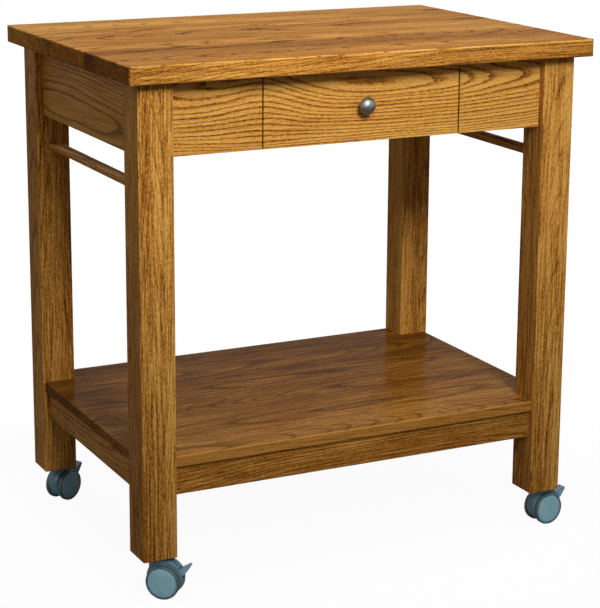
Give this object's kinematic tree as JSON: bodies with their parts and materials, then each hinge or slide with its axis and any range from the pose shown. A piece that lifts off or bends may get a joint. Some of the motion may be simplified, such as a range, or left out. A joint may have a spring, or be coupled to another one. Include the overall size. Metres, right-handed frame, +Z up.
{
  "type": "kitchen trolley",
  "caption": "Oak kitchen trolley: thick worktop on square legs, apron with a sliding drawer, end towel bars, low shelf and braked twin-wheel swivel casters.",
  "frame": {"origin": "on the floor, under the middle of the worktop", "axes": "+Z up, the drawer opens towards -Y, +X to the right seen from the drawer's side"},
  "size_m": [0.8982, 0.619, 0.923],
  "materials": {
    "oak": "stained and satin lacquered oak",
    "oak_shelf": "stained and satin lacquered oak",
    "inside_wood": "bare hardwood, fine sanded",
    "gunmetal": "satin dark metal",
    "steel": "zinc plated",
    "caster_housing": "fine textured nylon",
    "wheel_disc": "satin moulded plastic",
    "tyre": "soft dark rubber"
  },
  "bodies": {
    "frame": {"table_top": "oak", "leg_front_left": "oak", "leg_front_right": "oak", "leg_back_left": "oak", "leg_back_right": "oak", "apron_front_left": "oak", "apron_front_right": "oak", "apron_back": "oak", "apron_left": "oak", "apron_right": "oak", "rail_upper": "inside_wood", "rail_lower": "inside_wood", "runner_left": "inside_wood", "runner_right": "inside_wood", "corner_braces": "inside_wood", "top_screws": "steel", "towel_bar_left": "oak", "towel_bar_right": "oak", "shelf": "oak_shelf", "stretcher_front": "oak", "stretcher_back": "oak", "stretcher_left": "oak", "stretcher_right": "oak", "caster_sockets": "steel", "caster_stems": "steel"},
    "drawer": {"drawer_front": "oak", "drawer_side_left": "inside_wood", "drawer_side_right": "inside_wood", "drawer_back": "inside_wood", "drawer_bottom": "inside_wood", "knob": "gunmetal", "knob_screw": "steel"},
    "caster_front_left": {"fl_hood": "caster_housing", "fl_axle": "steel"},
    "pedal_front_left": {"fl_lever": "caster_housing"},
    "wheel_a_front_left": {"fl_wheel_a": "wheel_disc", "fl_tyre_a": "tyre"},
    "wheel_b_front_left": {"fl_wheel_b": "wheel_disc", "fl_tyre_b": "tyre"},
    "caster_front_right": {"fr_hood": "caster_housing", "fr_axle": "steel"},
    "pedal_front_right": {"fr_lever": "caster_housing"},
    "wheel_a_front_right": {"fr_wheel_a": "wheel_disc", "fr_tyre_a": "tyre"},
    "wheel_b_front_right": {"fr_wheel_b": "wheel_disc", "fr_tyre_b": "tyre"},
    "caster_back_left": {"bl_hood": "caster_housing", "bl_axle": "steel"},
    "pedal_back_left": {"bl_lever": "caster_housing"},
    "wheel_a_back_left": {"bl_wheel_a": "wheel_disc", "bl_tyre_a": "tyre"},
    "wheel_b_back_left": {"bl_wheel_b": "wheel_disc", "bl_tyre_b": "tyre"},
    "caster_back_right": {"br_hood": "caster_housing", "br_axle": "steel"},
    "pedal_back_right": {"br_lever": "caster_housing"},
    "wheel_a_back_right": {"br_wheel_a": "wheel_disc", "br_tyre_a": "tyre"},
    "wheel_b_back_right": {"br_wheel_b": "wheel_disc", "br_tyre_b": "tyre"}
  },
  "joints": [
    {"name": "drawer_slide", "type": "slide", "parent": "frame", "child": "drawer", "axis": [0, -1, 0], "range_m": [0, 0.33]},
    {"name": "swivel_front_left", "type": "hinge", "parent": "frame", "child": "caster_front_left", "pos_m": [-0.3875, -0.2505, 0.06], "axis": [0, 0, 1], "continuous": true},
    {"name": "roll_a_front_left", "type": "hinge", "parent": "caster_front_left", "child": "wheel_a_front_left", "pos_m": [-0.37189, -0.26455, 0.03], "axis": [0.6691, 0.7431, 0], "continuous": true},
    {"name": "roll_b_front_left", "type": "hinge", "parent": "caster_front_left", "child": "wheel_b_front_left", "pos_m": [-0.37189, -0.26455, 0.03], "axis": [0.6691, 0.7431, 0], "continuous": true},
    {"name": "brake_front_left", "type": "hinge", "parent": "caster_front_left", "child": "pedal_front_left", "pos_m": [-0.35926, -0.27593, 0.045], "axis": [0.6691, 0.7431, 0], "range_deg": [0, 18]},
    {"name": "swivel_front_right", "type": "hinge", "parent": "frame", "child": "caster_front_right", "pos_m": [0.3875, -0.2505, 0.06], "axis": [0, 0, 1], "continuous": true},
    {"name": "roll_a_front_right", "type": "hinge", "parent": "caster_front_right", "child": "wheel_a_front_right", "pos_m": [0.40842, -0.24867, 0.03], "axis": [-0.0872, 0.9962, 0], "continuous": true},
    {"name": "roll_b_front_right", "type": "hinge", "parent": "caster_front_right", "child": "wheel_b_front_right", "pos_m": [0.40842, -0.24867, 0.03], "axis": [-0.0872, 0.9962, 0], "continuous": true},
    {"name": "brake_front_right", "type": "hinge", "parent": "caster_front_right", "child": "pedal_front_right", "pos_m": [0.42535, -0.24719, 0.045], "axis": [-0.0872, 0.9962, 0], "range_deg": [0, 18]},
    {"name": "swivel_back_left", "type": "hinge", "parent": "frame", "child": "caster_back_left", "pos_m": [-0.3875, 0.2505, 0.06], "axis": [0, 0, 1], "continuous": true},
    {"name": "roll_a_back_left", "type": "hinge", "parent": "caster_back_left", "child": "wheel_a_back_left", "pos_m": [-0.36896, 0.26036, 0.03], "axis": [-0.4695, 0.8829, 0], "continuous": true},
    {"name": "roll_b_back_left", "type": "hinge", "parent": "caster_back_left", "child": "wheel_b_back_left", "pos_m": [-0.36896, 0.26036, 0.03], "axis": [-0.4695, 0.8829, 0], "continuous": true},
    {"name": "brake_back_left", "type": "hinge", "parent": "caster_back_left", "child": "pedal_back_left", "pos_m": [-0.35395, 0.26834, 0.045], "axis": [-0.4695, 0.8829, 0], "range_deg": [0, 18]},
    {"name": "swivel_back_right", "type": "hinge", "parent": "frame", "child": "caster_back_right", "pos_m": [0.3875, 0.2505, 0.06], "axis": [0, 0, 1], "continuous": true},
    {"name": "roll_a_back_right", "type": "hinge", "parent": "caster_back_right", "child": "wheel_a_back_right", "pos_m": [0.40778, 0.24507, 0.03], "axis": [0.2588, 0.9659, 0], "continuous": true},
    {"name": "roll_b_back_right", "type": "hinge", "parent": "caster_back_right", "child": "wheel_b_back_right", "pos_m": [0.40778, 0.24507, 0.03], "axis": [0.2588, 0.9659, 0], "continuous": true},
    {"name": "brake_back_right", "type": "hinge", "parent": "caster_back_right", "child": "pedal_back_right", "pos_m": [0.4242, 0.24066, 0.045], "axis": [0.2588, 0.9659, 0], "range_deg": [0, 18]}
  ]
}
